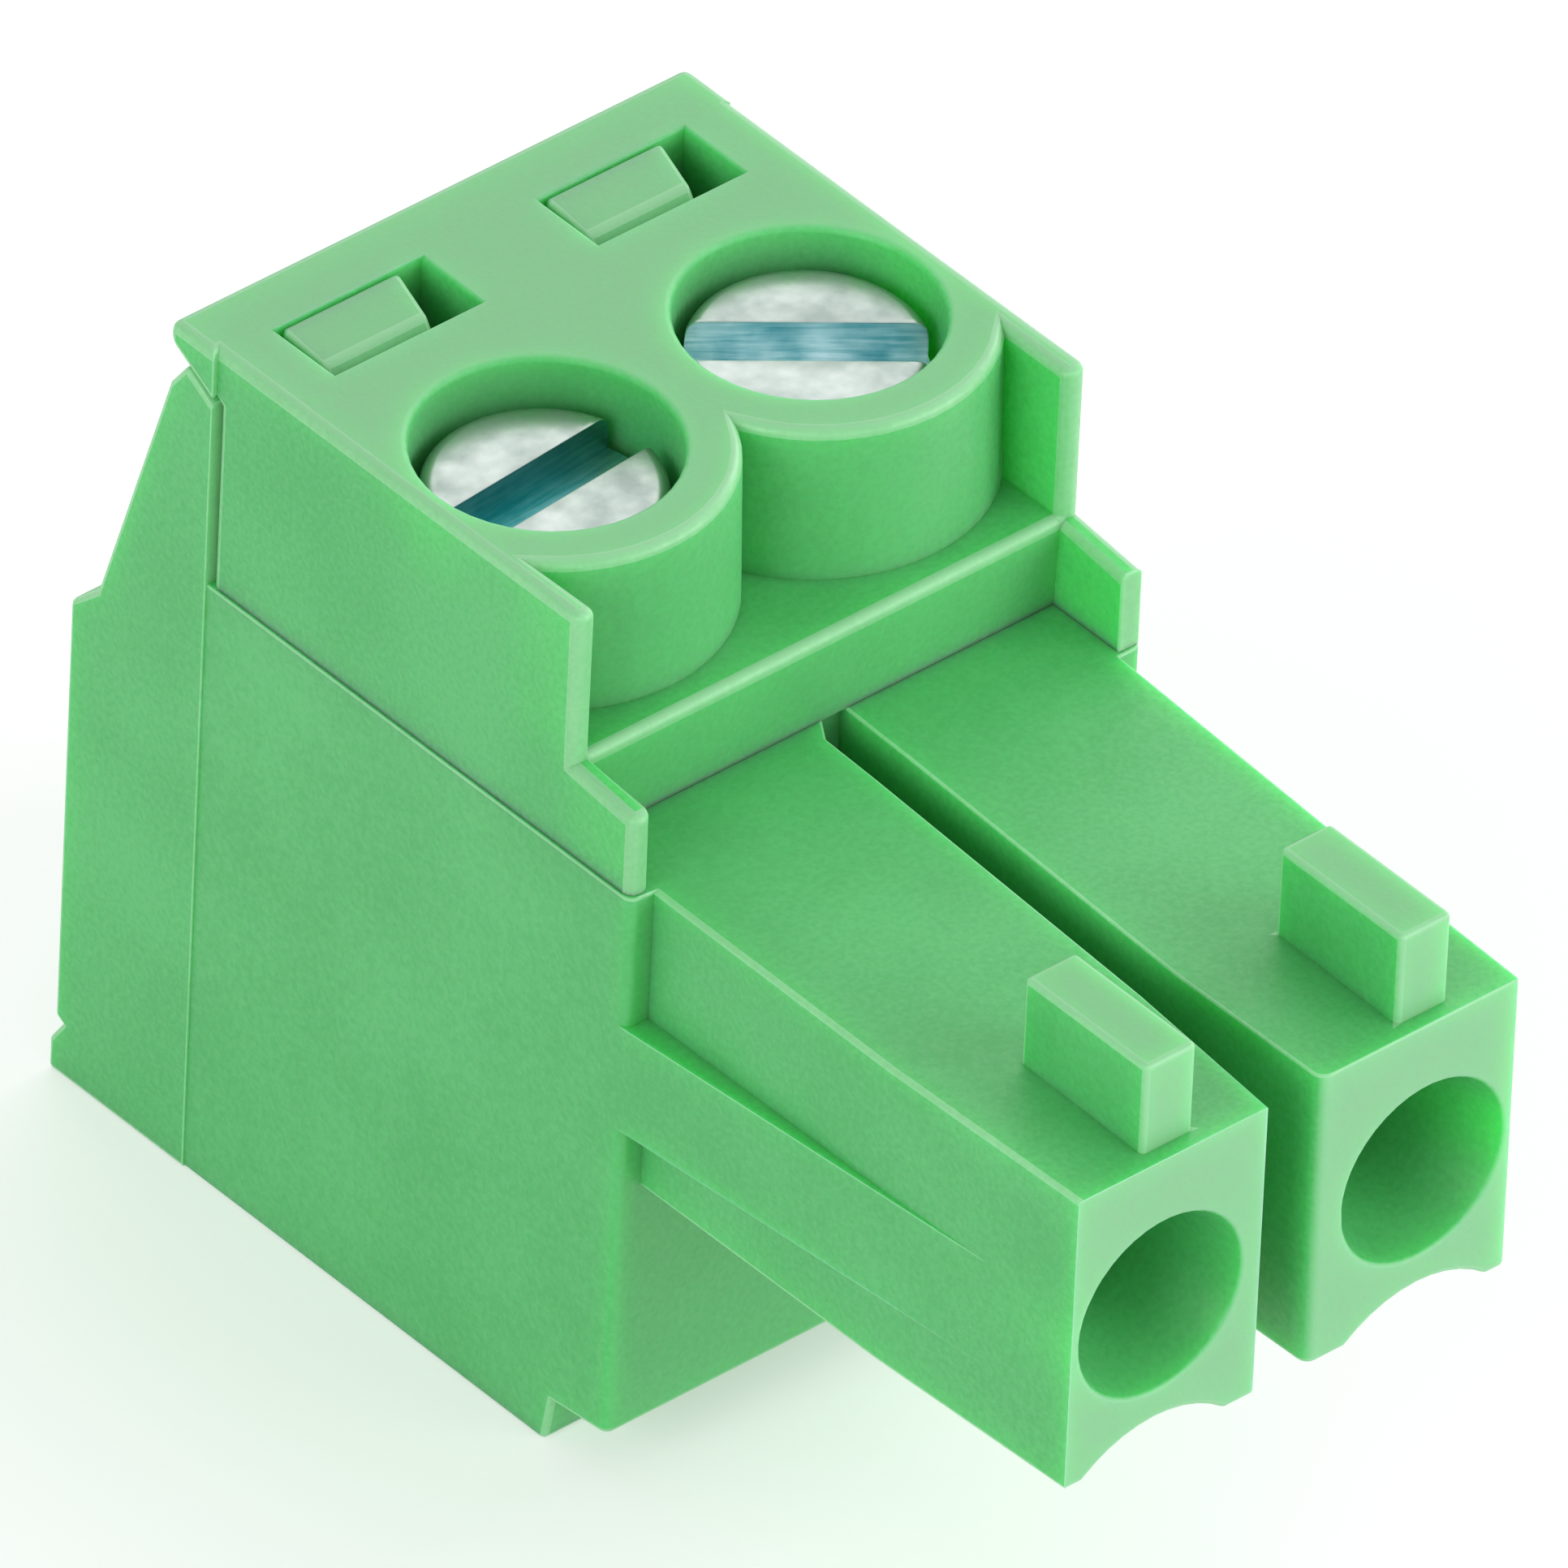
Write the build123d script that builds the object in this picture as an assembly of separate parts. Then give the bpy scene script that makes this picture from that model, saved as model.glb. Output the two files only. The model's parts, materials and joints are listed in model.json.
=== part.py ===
from build123d import *
import os

# Pluggable terminal block, two poles on a 3.81 mm pitch, with rising-cage screw clamps.
# Millimetres, +Z up. X runs along the row of poles and the plug goes into its header
# towards -Y. The origin is the middle of the bounding box, on the foot.

# Row of poles
pole_count = 2
pitch = 3.81
row_relief = 0.12
body_width = pole_count * pitch - row_relief
poles = [(i - (pole_count - 1) / 2) * pitch for i in range(pole_count)]
gaps = [(a + b) / 2 for a, b in zip(poles, poles[1:])]

# Depths of the base, from the tip of the fingers to the wire side
finger_length = 6.90
body_depth = 9.40
foot_lip = 0.08
tip_y = -(finger_length + body_depth + foot_lip) / 2
shoulder_y = tip_y + finger_length
wall_y = shoulder_y + body_depth

# Heights shared by both mouldings
height = 11.44
seam_z = 8.20
pin_z = 6.01
axis_from_shoulder = 3.70
axis_y = shoulder_y + axis_from_shoulder

# Foot plate and the groove above its lip
foot_thickness = 0.60
foot_setback = 1.02
foot_front_slant = 0.10
chin_rise = 0.10
groove_depth = 0.12
groove_height = 0.72
groove_bevel = 0.07
lip_top = 0.42

# Wire side of the base: vertical wall, step, leaning wall and the ridge under the cap
step_z = 6.63
step_height = 0.40
step_depth = 0.44
lean_top_z = 10.60
lean_depth = 1.07
ridge_depth = 0.26
strip_depth = 0.72
side_step = 0.03
front_corner_radius = 0.13

# Fingers that carry the pin entries
finger_height = 4.03
finger_bottom = 4.05
finger_inset = 0.37
kink_from_tip = 3.00
kink_tapers = [0.04, 0.14]
tip_tapers = [0.14, 0.05]
slot_kink_from_tip = 2.30
slot_near_root = 0.13
slot_near_kink = 0.31
slot_near_tip = 0.47
slot_far_root = 0.40
slot_far_kink = 0.23
slot_far_tip = 0.30
slot_far_rounding = 0.16
slot_behind_shoulder = 1.25
slot_corner_width = 0.24
slot_corner_length = 0.37
underside_arc_width = 2.06
underside_arc_depth = 0.38

# Wedge rib along each outer flank of the row
wedge_bottom = 5.00
wedge_height = 1.42
wedge_length = 5.50

# Coding rib on top of each finger
rib_width = 0.74
rib_length = 2.03
rib_height = 1.22
rib_setback = 0.20
rib_offsets = [0.15, 0.035]
rib_root = 0.20

# Pin entry
mouth_diameter = 2.36
throat_diameter = 1.50
funnel_depth = 1.60
throat_length = 0.50

# Sheet-metal contact: a bar folded double, a trough and two springs
sheet = 0.35
bar_bottom = 4.90
bar_thickness = 2 * sheet
trough_width = 2.00
trough_length = 2.00
spring_height = 1.60
spring_gap = 0.86
spring_flare = 0.30
flare_length = 0.90
bar_seat = 0.40
contact_play = 0.05

# Rising cage
cage_width = 2.80
cage_length = 3.40
cage_side = 0.32
cage_floor = 0.55
cage_crown = 0.95
wire_gap = 2.60
crown_gap = 0.30
rise_play = 0.30
slide_play = 0.08
floor_play = 0.05
cage_fold_radius = 0.35
bar_width = cage_width - 2 * cage_side - 2 * slide_play

# Clamping screw
thread_pitch = 0.40
clamp_turns = 5
shank_diameter = 1.96
thread_play = 0.04
head_diameter = 2.78
head_height = 1.17
head_chamfer = 0.16
head_lifts = [0.0, 0.11]
driver_slot_width = 0.68
driver_slot_depth = 0.46
driver_slot_angles = [5.0, -38.5]
tip_play = 0.05
tip_chamfer = 0.20

# Cap with its two screw turrets
cap_insets = [0.07, 0.04]
cap_overhang = 0.05
cap_edge = 0.30
bevel_slope = 0.56
turret_radius = 2.15
turret_draft = 0.06
access_diameter = 3.06
access_chamfer = 0.05
web_thickness = 0.55
web_play = 0.05
cheek_thickness = 0.30
cheek_from_shoulder = 1.10
lobe_from_shoulder = 0.05
lobe_height = 1.06
ledge_rise = 0.12
shelf_height = 1.22
lip_overhang = 0.10
seam_play = 0.03

# Latch hooks of the base in the windows of the cap
window_width = 2.12
window_depth = 1.02
window_shift = 0.03
window_back = 0.08
hook_width = 1.70
hook_slant = 0.24
hook_drop = 0.02
hook_slope = 0.08
hook_nose = 0.22
hook_nose_drop = 0.16
hook_play = 0.06
hook_back_play = 0.03
latch_root = 7.00
latch_pocket_play = 0.16

# Wire entry
entry_width = 2.70
entry_rise = 0.60
entry_fall = 0.60
entry_corner = 0.55
throat_corner = 0.30

half_width = body_width / 2
chamber_width = cage_width + 2 * slide_play
chamber_length = cage_length + 2 * slide_play
chamber_floor = bar_bottom - wire_gap - cage_floor - floor_play
chamber_back = axis_y + chamber_length / 2
chamber_front = axis_y - chamber_length / 2
bar_top = bar_bottom + bar_thickness
clamp_travel = clamp_turns * thread_pitch
cage_top = bar_top + crown_gap + cage_crown
chamber_top = cage_top + clamp_travel + rise_play
web_top = chamber_top + web_thickness
head_bottom = web_top + web_play
head_top = head_bottom + head_height
seam_y = wall_y - step_depth - lean_depth - strip_depth
lean_foot_y = wall_y - step_depth
lean_top_y = lean_foot_y - lean_depth
ridge_y = lean_top_y - ridge_depth
cap_front_y = shoulder_y + cheek_from_shoulder
lobe_y = shoulder_y + lobe_from_shoulder
shelf_z = seam_z + shelf_height
cap_back_y = lean_top_y + cap_overhang
window_front_y = seam_y - window_back - window_depth
tunnel_width = trough_width + 2 * contact_play
tunnel_height = sheet + spring_height + 2 * contact_play
tunnel_tip_y = tip_y + funnel_depth + throat_length
over = 1.0


def bevel_z(y):
    """Height of the bevel under the back edge of the cap, which the base meets."""
    return height - cap_edge - bevel_slope * (cap_back_y - y)


def extrude_side(points, width):
    """Prism across the row from an outline of (y, z) points."""
    outline = Plane.YZ * make_face(Polyline(*points, close=True))
    return extrude(outline, width / 2, both=True)


def extrude_plan(points, bottom, top):
    """Upright prism from an outline of (x, y) points."""
    outline = Pos(0, 0, bottom) * make_face(Polyline(*points, close=True))
    return extrude(outline, top - bottom, dir=(0, 0, 1))


def block(x0, x1, y0, y1, z0, z1):
    """Rectangular block between two corners."""
    centre = Pos((x0 + x1) / 2, (y0 + y1) / 2, (z0 + z1) / 2)
    return centre * Box(x1 - x0, y1 - y0, z1 - z0)


def upright_cylinder(x, y, z0, z1, radius):
    """Round post or bore along Z."""
    return Pos(x, y, (z0 + z1) / 2) * Cylinder(radius, z1 - z0)


def upright_cone(x, y, z0, z1, r0, r1):
    """Tapered post or bore along Z, r0 at the bottom."""
    return Pos(x, y, (z0 + z1) / 2) * Cone(r0, r1, z1 - z0)


def fore_cone(x, y0, y1, z, r0, r1):
    """Tapered bore along Y, r0 at the front end."""
    turned = Pos(x, (y0 + y1) / 2, z) * Rot(-90, 0, 0)
    return turned * Cone(r0, r1, y1 - y0)


def flank_x(y, end):
    """Half the width of the finger row at a depth y, at its -X end (0) or +X end (1), with a kink."""
    kink_y = tip_y + kink_from_tip
    root = half_width - finger_inset
    if y >= kink_y:
        return root - kink_tapers[end] * (shoulder_y - y) / (shoulder_y - kink_y)
    return root - kink_tapers[end] - tip_tapers[end] * (kink_y - y) / kink_from_tip


def base_shell():
    """Outer form of the lower moulding, behind the fingers."""
    foot_front_y = shoulder_y + foot_setback
    chin_z = foot_thickness + chin_rise
    outline = [
        (shoulder_y, chin_z),
        (shoulder_y, seam_z),
        (seam_y, seam_z),
        (seam_y, bevel_z(seam_y)),
        (ridge_y, bevel_z(ridge_y)),
        (lean_top_y, lean_top_z),
        (lean_foot_y, step_z + step_height),
        (wall_y, step_z),
        (wall_y, groove_height + groove_bevel),
        (wall_y - groove_depth, groove_height),
        (wall_y + foot_lip, lip_top),
        (wall_y + foot_lip, 0),
        (foot_front_y, 0),
        (foot_front_y - foot_front_slant, foot_thickness),
    ]
    shell = extrude_side(outline, body_width)
    relief_height = height + over
    for side in (-1, 1):
        x0 = side * (half_width - side_step)
        x1 = side * (half_width + over)
        shell -= block(min(x0, x1), max(x0, x1), shoulder_y - over, seam_y, -over, relief_height)
    front_edges = shell.edges().filter_by(Axis.Z).group_by(Axis.Y)[0]
    return fillet(front_edges, front_corner_radius)


def finger_row():
    """Row of fingers, slotted between the poles, with a grooved underside."""
    back_y = shoulder_y + slot_behind_shoulder
    root = half_width - finger_inset
    depths = [tip_y, tip_y + kink_from_tip, shoulder_y]
    plan = [(-flank_x(y, 0), y) for y in depths] + [(-root, back_y), (root, back_y)]
    plan += [(flank_x(y, 1), y) for y in reversed(depths)]
    top_tip = finger_bottom + finger_height
    flank = [
        (tip_y, finger_bottom),
        (tip_y, top_tip),
        (shoulder_y, seam_z),
        (back_y, seam_z),
        (back_y, finger_bottom),
    ]
    row = extrude_plan(plan, finger_bottom, seam_z + over)
    row &= extrude_side(flank, body_width)
    half_arc = underside_arc_width / 2
    radius = (half_arc ** 2 + underside_arc_depth ** 2) / (2 * underside_arc_depth)
    for x in poles:
        centre = Pos(x, (tip_y + shoulder_y) / 2, finger_bottom + underside_arc_depth - radius)
        row -= centre * Rot(90, 0, 0) * Cylinder(radius, finger_length)
    return row


def gap_slots():
    """Tapering slots between neighbouring fingers, cut on into the body, with one tip rounded."""
    kink_y = tip_y + slot_kink_from_tip
    back_y = shoulder_y + slot_behind_shoulder
    slots = []
    for x in gaps:
        outline = [
            (x - slot_near_tip, tip_y - over),
            (x - slot_near_tip, tip_y),
            (x - slot_near_kink, kink_y),
            (x - slot_near_root, back_y - slot_corner_length),
            (x - slot_near_root + slot_corner_width, back_y),
            (x + slot_far_root, back_y),
            (x + slot_far_kink, kink_y),
            (x + slot_far_tip, tip_y),
            (x + slot_far_tip + over, tip_y),
            (x + slot_far_tip + over, tip_y - over),
        ]
        face = make_face(Polyline(*outline, close=True))
        corner = face.vertices().sort_by_distance((x + slot_far_tip, tip_y, 0))[0]
        rounded = Pos(0, 0, finger_bottom) * fillet(corner, slot_far_rounding)
        slots.append(extrude(rounded, seam_z + over - finger_bottom, dir=(0, 0, 1)))
    return slots


def flank_wedges():
    """Ribs that run out of the body sides and die away along the outer fingers."""
    outer = half_width - side_step
    inner = half_width - finger_inset - over
    end_y = shoulder_y - wedge_length
    root_y = shoulder_y + front_corner_radius
    wedges = []
    for end, side in enumerate((-1, 1)):
        tip = (flank_x(end_y, end), end_y)
        plan = [(inner, root_y), (outer, root_y), (outer, shoulder_y), tip, (inner, end_y)]
        plan = [(side * x, y) for x, y in plan]
        wedges.append(extrude_plan(plan, wedge_bottom, wedge_bottom + wedge_height))
    return wedges


def coding_ribs():
    """Upright ribs near the finger tips that the header's coding groove takes."""
    front = tip_y + rib_setback
    top = finger_bottom + finger_height + rib_height
    foot = finger_bottom + finger_height - rib_root
    ribs = []
    for i, x in enumerate(poles):
        left = x + rib_offsets[i % len(rib_offsets)] - rib_width / 2
        ribs.append(block(left, left + rib_width, front, front + rib_length, foot, top))
    return ribs


def pin_entries():
    """Funnel, throat and contact tunnel of every pole."""
    cuts = []
    for x in poles:
        funnel_end = tip_y + funnel_depth
        cuts.append(fore_cone(x, tip_y, funnel_end, pin_z, mouth_diameter / 2, throat_diameter / 2))
        throat = Pos(x, (funnel_end + tunnel_tip_y) / 2, pin_z) * Rot(90, 0, 0)
        cuts.append(throat * Cylinder(throat_diameter / 2, throat_length))
        left = x - tunnel_width / 2
        tunnel_top = bar_bottom + tunnel_height
        cuts.append(block(left, left + tunnel_width, tunnel_tip_y, axis_y, bar_bottom, tunnel_top))
    return cuts


def clamp_chambers():
    """Shafts that guide the cages, with the notch that seats the end of the bar."""
    cuts = []
    for x in poles:
        left = x - chamber_width / 2
        shaft = block(left, left + chamber_width, chamber_front, chamber_back, chamber_floor, seam_z + over)
        cuts.append(shaft)
        side = bar_width / 2 + contact_play
        seat_end = chamber_back + bar_seat
        cuts.append(block(x - side, x + side, axis_y, seat_end, bar_bottom, bar_top + contact_play))
    return cuts


def wire_entries():
    """Rounded funnels from the wire side down to the opening of each cage."""
    throat_width = cage_width - 2 * cage_side
    middle = bar_bottom - wire_gap / 2
    mouth_height = wire_gap + entry_rise + entry_fall
    mouth_middle = middle + (entry_rise - entry_fall) / 2
    cuts = []
    for x in poles:
        mouth = Plane((x, wall_y, mouth_middle), x_dir=(1, 0, 0), z_dir=(0, -1, 0))
        inner = Plane((x, chamber_back, middle), x_dir=(1, 0, 0), z_dir=(0, -1, 0))
        wide = mouth * RectangleRounded(entry_width, mouth_height, entry_corner)
        tight = inner * RectangleRounded(throat_width, wire_gap, throat_corner)
        cuts.append(loft([wide, tight]))
    return cuts


def latch_hooks():
    """Spring tongues that rise into the windows of the cap, one behind each screw."""
    top = height - hook_drop
    back = seam_y - window_back - hook_back_play
    front = window_front_y + hook_play
    nose_z = top - hook_slope
    slope = [
        (back, latch_root),
        (back, top),
        (front + hook_nose, nose_z),
        (front, nose_z - hook_nose_drop),
        (front, latch_root),
    ]
    hooks = []
    for x in poles:
        left = x + window_shift - window_width / 2 + hook_play
        outline = [
            (left, back),
            (left, front),
            (left + hook_width - hook_slant, front),
            (left + hook_width, back),
        ]
        hooks.append(extrude_plan(outline, latch_root, top) & extrude_side(slope, body_width))
    return hooks


def latch_pockets():
    """Room around the foot of each tongue, so that it can bend."""
    cuts = []
    for x in poles:
        left = x + window_shift - window_width / 2
        front = window_front_y - latch_pocket_play
        cuts.append(block(left, left + window_width, front, seam_y, latch_root, seam_z + over))
    return cuts


def base_housing():
    """Lower moulding with feet, clamp chambers, wire entries, tongues and fingers."""
    body = base_shell() + finger_row()
    for wedge in flank_wedges():
        body += wedge
    cuts = gap_slots() + pin_entries() + clamp_chambers() + wire_entries() + latch_pockets()
    for cut in cuts:
        body -= cut
    for piece in coding_ribs() + latch_hooks():
        body += piece
    return body


def cap_block():
    """Outer form of the cap: cheeks with their lower lobes, top plate and bevelled back edge."""
    outline = [
        (lobe_y, seam_z),
        (lobe_y, seam_z + lobe_height),
        (cap_front_y, seam_z + lobe_height + ledge_rise),
        (cap_front_y, height),
        (cap_back_y, height),
        (cap_back_y, height - cap_edge),
        (seam_y - seam_play, bevel_z(seam_y - seam_play)),
        (seam_y - seam_play, seam_z),
    ]
    cap = extrude_side(outline, body_width)
    for side, inset in zip((-1, 1), cap_insets):
        x0 = side * (half_width - inset)
        x1 = side * (half_width + over)
        cap -= block(min(x0, x1), max(x0, x1), lobe_y - over, seam_y, seam_z - over, height + over)
    return cap


def turret_fronts():
    """Room in front of the screw turrets, above the shelf and between the cheeks."""
    left = cap_insets[0] + cheek_thickness - half_width
    right = half_width - cap_insets[1] - cheek_thickness
    upper = block(left, right, lobe_y - over, axis_y, shelf_z, height + over)
    foot_radius = turret_radius + turret_draft
    for x in poles:
        upper -= upright_cone(x, axis_y, shelf_z, height, foot_radius, turret_radius)
        upper -= upright_cylinder(x, axis_y, height, height + over, turret_radius)
    face = [
        (lobe_y - over, seam_z - over),
        (lobe_y - over, shelf_z),
        (cap_front_y, shelf_z),
        (cap_front_y + lip_overhang, seam_z - over),
    ]
    strip = extrude_side(face, body_width) & block(left, right, lobe_y - over, axis_y, 0, height)
    return upper + strip


def cap_housing():
    """Upper moulding that closes the chambers, guides the screws and snaps over the tongues."""
    cap = cap_block() - turret_fronts()
    for x in poles:
        left = x - chamber_width / 2
        cap -= block(left, left + chamber_width, chamber_front, chamber_back, seam_z - over, chamber_top)
        shank_radius = shank_diameter / 2 + slide_play
        cap -= upright_cylinder(x, axis_y, chamber_top, web_top, shank_radius)
        cap -= upright_cylinder(x, axis_y, web_top, height, access_diameter / 2)
        rim = access_diameter / 2 + access_chamfer
        cap -= upright_cone(x, axis_y, height - access_chamfer, height, access_diameter / 2, rim)
        left = x + window_shift - window_width / 2
        back = seam_y - window_back
        cap -= block(left, left + window_width, window_front_y, back, seam_z - over, height + over)
    return cap


def spring_leaf(side):
    """One contact spring in plan: straight root, pinch line and flared mouth."""
    outer_root = trough_width / 2
    pinch = spring_gap / 2
    root_y = shoulder_y - trough_length / 2
    mouth_y = tunnel_tip_y + contact_play
    pinch_y = mouth_y + flare_length
    outline = [
        (outer_root - sheet, root_y + trough_length),
        (outer_root - sheet, root_y),
        (pinch, pinch_y),
        (pinch + spring_flare, mouth_y),
        (pinch + spring_flare + sheet / 2, mouth_y),
        (pinch + sheet, pinch_y),
        (outer_root, root_y),
        (outer_root, root_y + trough_length),
    ]
    return [(side * x, y) for x, y in outline]


def contact(x):
    """Folded strip: doubled bar through the cage, trough in the front wall, two springs."""
    trough_back = shoulder_y + trough_length / 2
    trough_front = trough_back - trough_length
    seat_end = chamber_back + bar_seat - contact_play
    bar = block(-bar_width / 2, bar_width / 2, trough_back, seat_end, bar_bottom, bar_top)
    half = trough_width / 2
    piece = bar + block(-half, half, trough_front, trough_back + sheet, bar_bottom, bar_bottom + sheet)
    for side in (-1, 1):
        piece += extrude_plan(spring_leaf(side), bar_bottom + sheet, bar_bottom + sheet + spring_height)
    return Pos(x, 0, 0) * piece


def cage(x):
    """Box clamp bent from strip, open along the wire, with a threaded crown."""
    bottom = bar_bottom - wire_gap - cage_floor
    middle = (bottom + cage_top) / 2
    frame = Plane((0, axis_y, middle), x_dir=(1, 0, 0), z_dir=(0, -1, 0))
    outer = frame * RectangleRounded(cage_width, cage_top - bottom, cage_fold_radius)
    piece = extrude(outer, cage_length / 2, both=True)
    half = cage_width / 2 - cage_side
    front = axis_y - cage_length
    back = axis_y + cage_length
    crown_z = cage_top - cage_crown
    piece -= block(-half, half, front, back, bottom + cage_floor, crown_z)
    piece -= upright_cylinder(0, axis_y, crown_z, cage_top, shank_diameter / 2 + thread_play)
    return Pos(x, 0, 0) * piece


def clamp_screw(x, slot_angle, lift):
    """Cheese-head screw, turned as one profile, with a straight driver slot."""
    tip_z = bar_top + tip_play
    shank = shank_diameter / 2
    head = head_diameter / 2
    profile = [
        (0, tip_z),
        (shank - tip_chamfer, tip_z),
        (shank, tip_z + tip_chamfer),
        (shank, head_bottom),
        (head, head_bottom),
        (head, head_top - head_chamfer),
        (head - head_chamfer, head_top),
        (0, head_top),
    ]
    screw = revolve(Plane.XZ * make_face(Polyline(*profile, close=True)), Axis.Z)
    slot_top = head_top + over
    slot_bottom = head_top - driver_slot_depth
    half = driver_slot_width / 2
    slot = block(-head_diameter, head_diameter, -half, half, slot_bottom, slot_top)
    return Pos(x, axis_y, lift) * (screw - Rot(0, 0, slot_angle) * slot)


os.makedirs("parts", exist_ok=True)
export_step(base_housing(), "parts/base_housing.step")
export_step(cap_housing(), "parts/cap_housing.step")
for i, x in enumerate(poles):
    angle = driver_slot_angles[i % len(driver_slot_angles)]
    lift = head_lifts[i % len(head_lifts)]
    export_step(contact(x), f"parts/contact_{i + 1}.step")
    export_step(cage(x), f"parts/clamp_cage_{i + 1}.step")
    export_step(clamp_screw(x, angle, lift), f"parts/clamp_screw_{i + 1}.step")
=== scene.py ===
import json
import math

import bmesh
import bpy
from mathutils import Matrix, Vector


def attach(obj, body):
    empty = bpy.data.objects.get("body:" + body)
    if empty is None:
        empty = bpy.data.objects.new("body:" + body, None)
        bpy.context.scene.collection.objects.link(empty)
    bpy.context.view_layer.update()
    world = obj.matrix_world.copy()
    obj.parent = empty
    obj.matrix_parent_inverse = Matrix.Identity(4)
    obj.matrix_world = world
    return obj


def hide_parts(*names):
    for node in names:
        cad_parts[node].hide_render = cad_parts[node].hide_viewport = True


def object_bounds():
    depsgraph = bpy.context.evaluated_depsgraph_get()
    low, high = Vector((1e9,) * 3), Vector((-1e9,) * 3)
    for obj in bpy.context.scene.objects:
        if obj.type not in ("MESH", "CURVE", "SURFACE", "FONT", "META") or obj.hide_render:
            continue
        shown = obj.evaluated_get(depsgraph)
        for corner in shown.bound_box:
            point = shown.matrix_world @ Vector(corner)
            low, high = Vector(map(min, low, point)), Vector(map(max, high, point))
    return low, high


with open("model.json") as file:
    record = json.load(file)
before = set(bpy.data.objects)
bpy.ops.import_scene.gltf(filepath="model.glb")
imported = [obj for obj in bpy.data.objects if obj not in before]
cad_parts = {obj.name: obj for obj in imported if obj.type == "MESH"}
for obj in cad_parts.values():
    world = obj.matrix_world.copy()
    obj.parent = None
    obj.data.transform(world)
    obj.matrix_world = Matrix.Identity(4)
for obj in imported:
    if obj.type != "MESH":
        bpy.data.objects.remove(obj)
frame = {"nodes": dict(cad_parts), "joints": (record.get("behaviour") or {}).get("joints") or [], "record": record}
cad_low, cad_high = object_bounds()

MM = 0.001

# Places on the part, in its own frame

joint_places = {joint["name"]: joint.get("pos_m") for joint in frame["joints"]}
mount_places = {mount["name"]: mount["pos_m"] for mount in frame["record"]["mounts"]}

# Axis of the right screw. The left one stands as far to the other side.
SCREW_X, SCREW_Y = joint_places["screw_2_turn"][:2]
CAP_TOP = 11.44 * MM
# The sides of the cap end at the seam, and at the front of the wall that the wires enter.
SEAM_Z = 8.20 * MM
WALL_FRONT_Y = 5.88 * MM
# The cheeks of the cap lie outside the first of these, the sides of the wall outside the second.
CHEEKS_X = 3.3 * MM
WALL_SIDE_X = 3.7 * MM
# The latch windows and the wire entries lie inside these limits.
WINDOWS_X = 3.4 * MM
WINDOWS_Y = (4.2 * MM, 7.4 * MM)
WIRE_FACE_Y = mount_places["wire_entry_2"][1]
WIRE_ENTRIES_X = 3.5 * MM
WIRE_ENTRIES_Z = (0.9 * MM, 5.9 * MM)
# The pin entries open in the end faces of the fingers.
PIN_Z = mount_places["pin_entry_2"][2]
FINGER_FACE_Y = cad_low.y
# The top edges of the fingers lie in front of the root and above the height. Those at the slot
# between the two lie inside its limit, and those of the right side outside the last one.
FINGER_ROOT_Y = -1.2 * MM
FINGER_EDGES_Z = 7.8 * MM
FINGER_SLOT_X = 0.6 * MM
FINGER_SIDE_X = 3.1 * MM


# Meshes, nodes and colours

def linear(colour):
    """Linear RGBA of an sRGB hex colour."""
    channels = [int(colour[i:i + 2], 16) / 255 for i in (1, 3, 5)]
    light = [c / 12.92 if c <= 0.04045 else ((c + 0.055) / 1.055) ** 2.4 for c in channels]
    return (*light, 1.0)


def add(tree, kind, values=None, links=None, **settings):
    """Adds one node with its settings, its socket values and the sockets that feed it."""
    made = tree.nodes.new(kind)
    for name, value in settings.items():
        setattr(made, name, value)
    for name, value in (values or {}).items():
        made.inputs[name].default_value = value
    for name, source in (links or {}).items():
        tree.links.new(source, made.inputs[name])
    return made


def new_material(name):
    """Empty node material, and its tree."""
    material = bpy.data.materials.new(name)
    material.use_nodes = True
    material.node_tree.nodes.clear()
    return material, material.node_tree


def piece_from(bm, name, material, body):
    """Object at the origin from a finished bmesh, smooth shaded and riding on its body."""
    mesh = bpy.data.meshes.new(name)
    bm.to_mesh(mesh)
    bm.free()
    mesh.polygons.foreach_set("use_smooth", [True] * len(mesh.polygons))
    mesh.materials.append(material)
    made = bpy.data.objects.new(name, mesh)
    bpy.context.scene.collection.objects.link(made)
    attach(made, body)
    return made


# Finishes

POLYAMIDE_IOR = 1.53
# Nearly all values of a noise texture lie between these two.
NOISE_LOW, NOISE_HIGH = 0.3, 0.7


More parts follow.
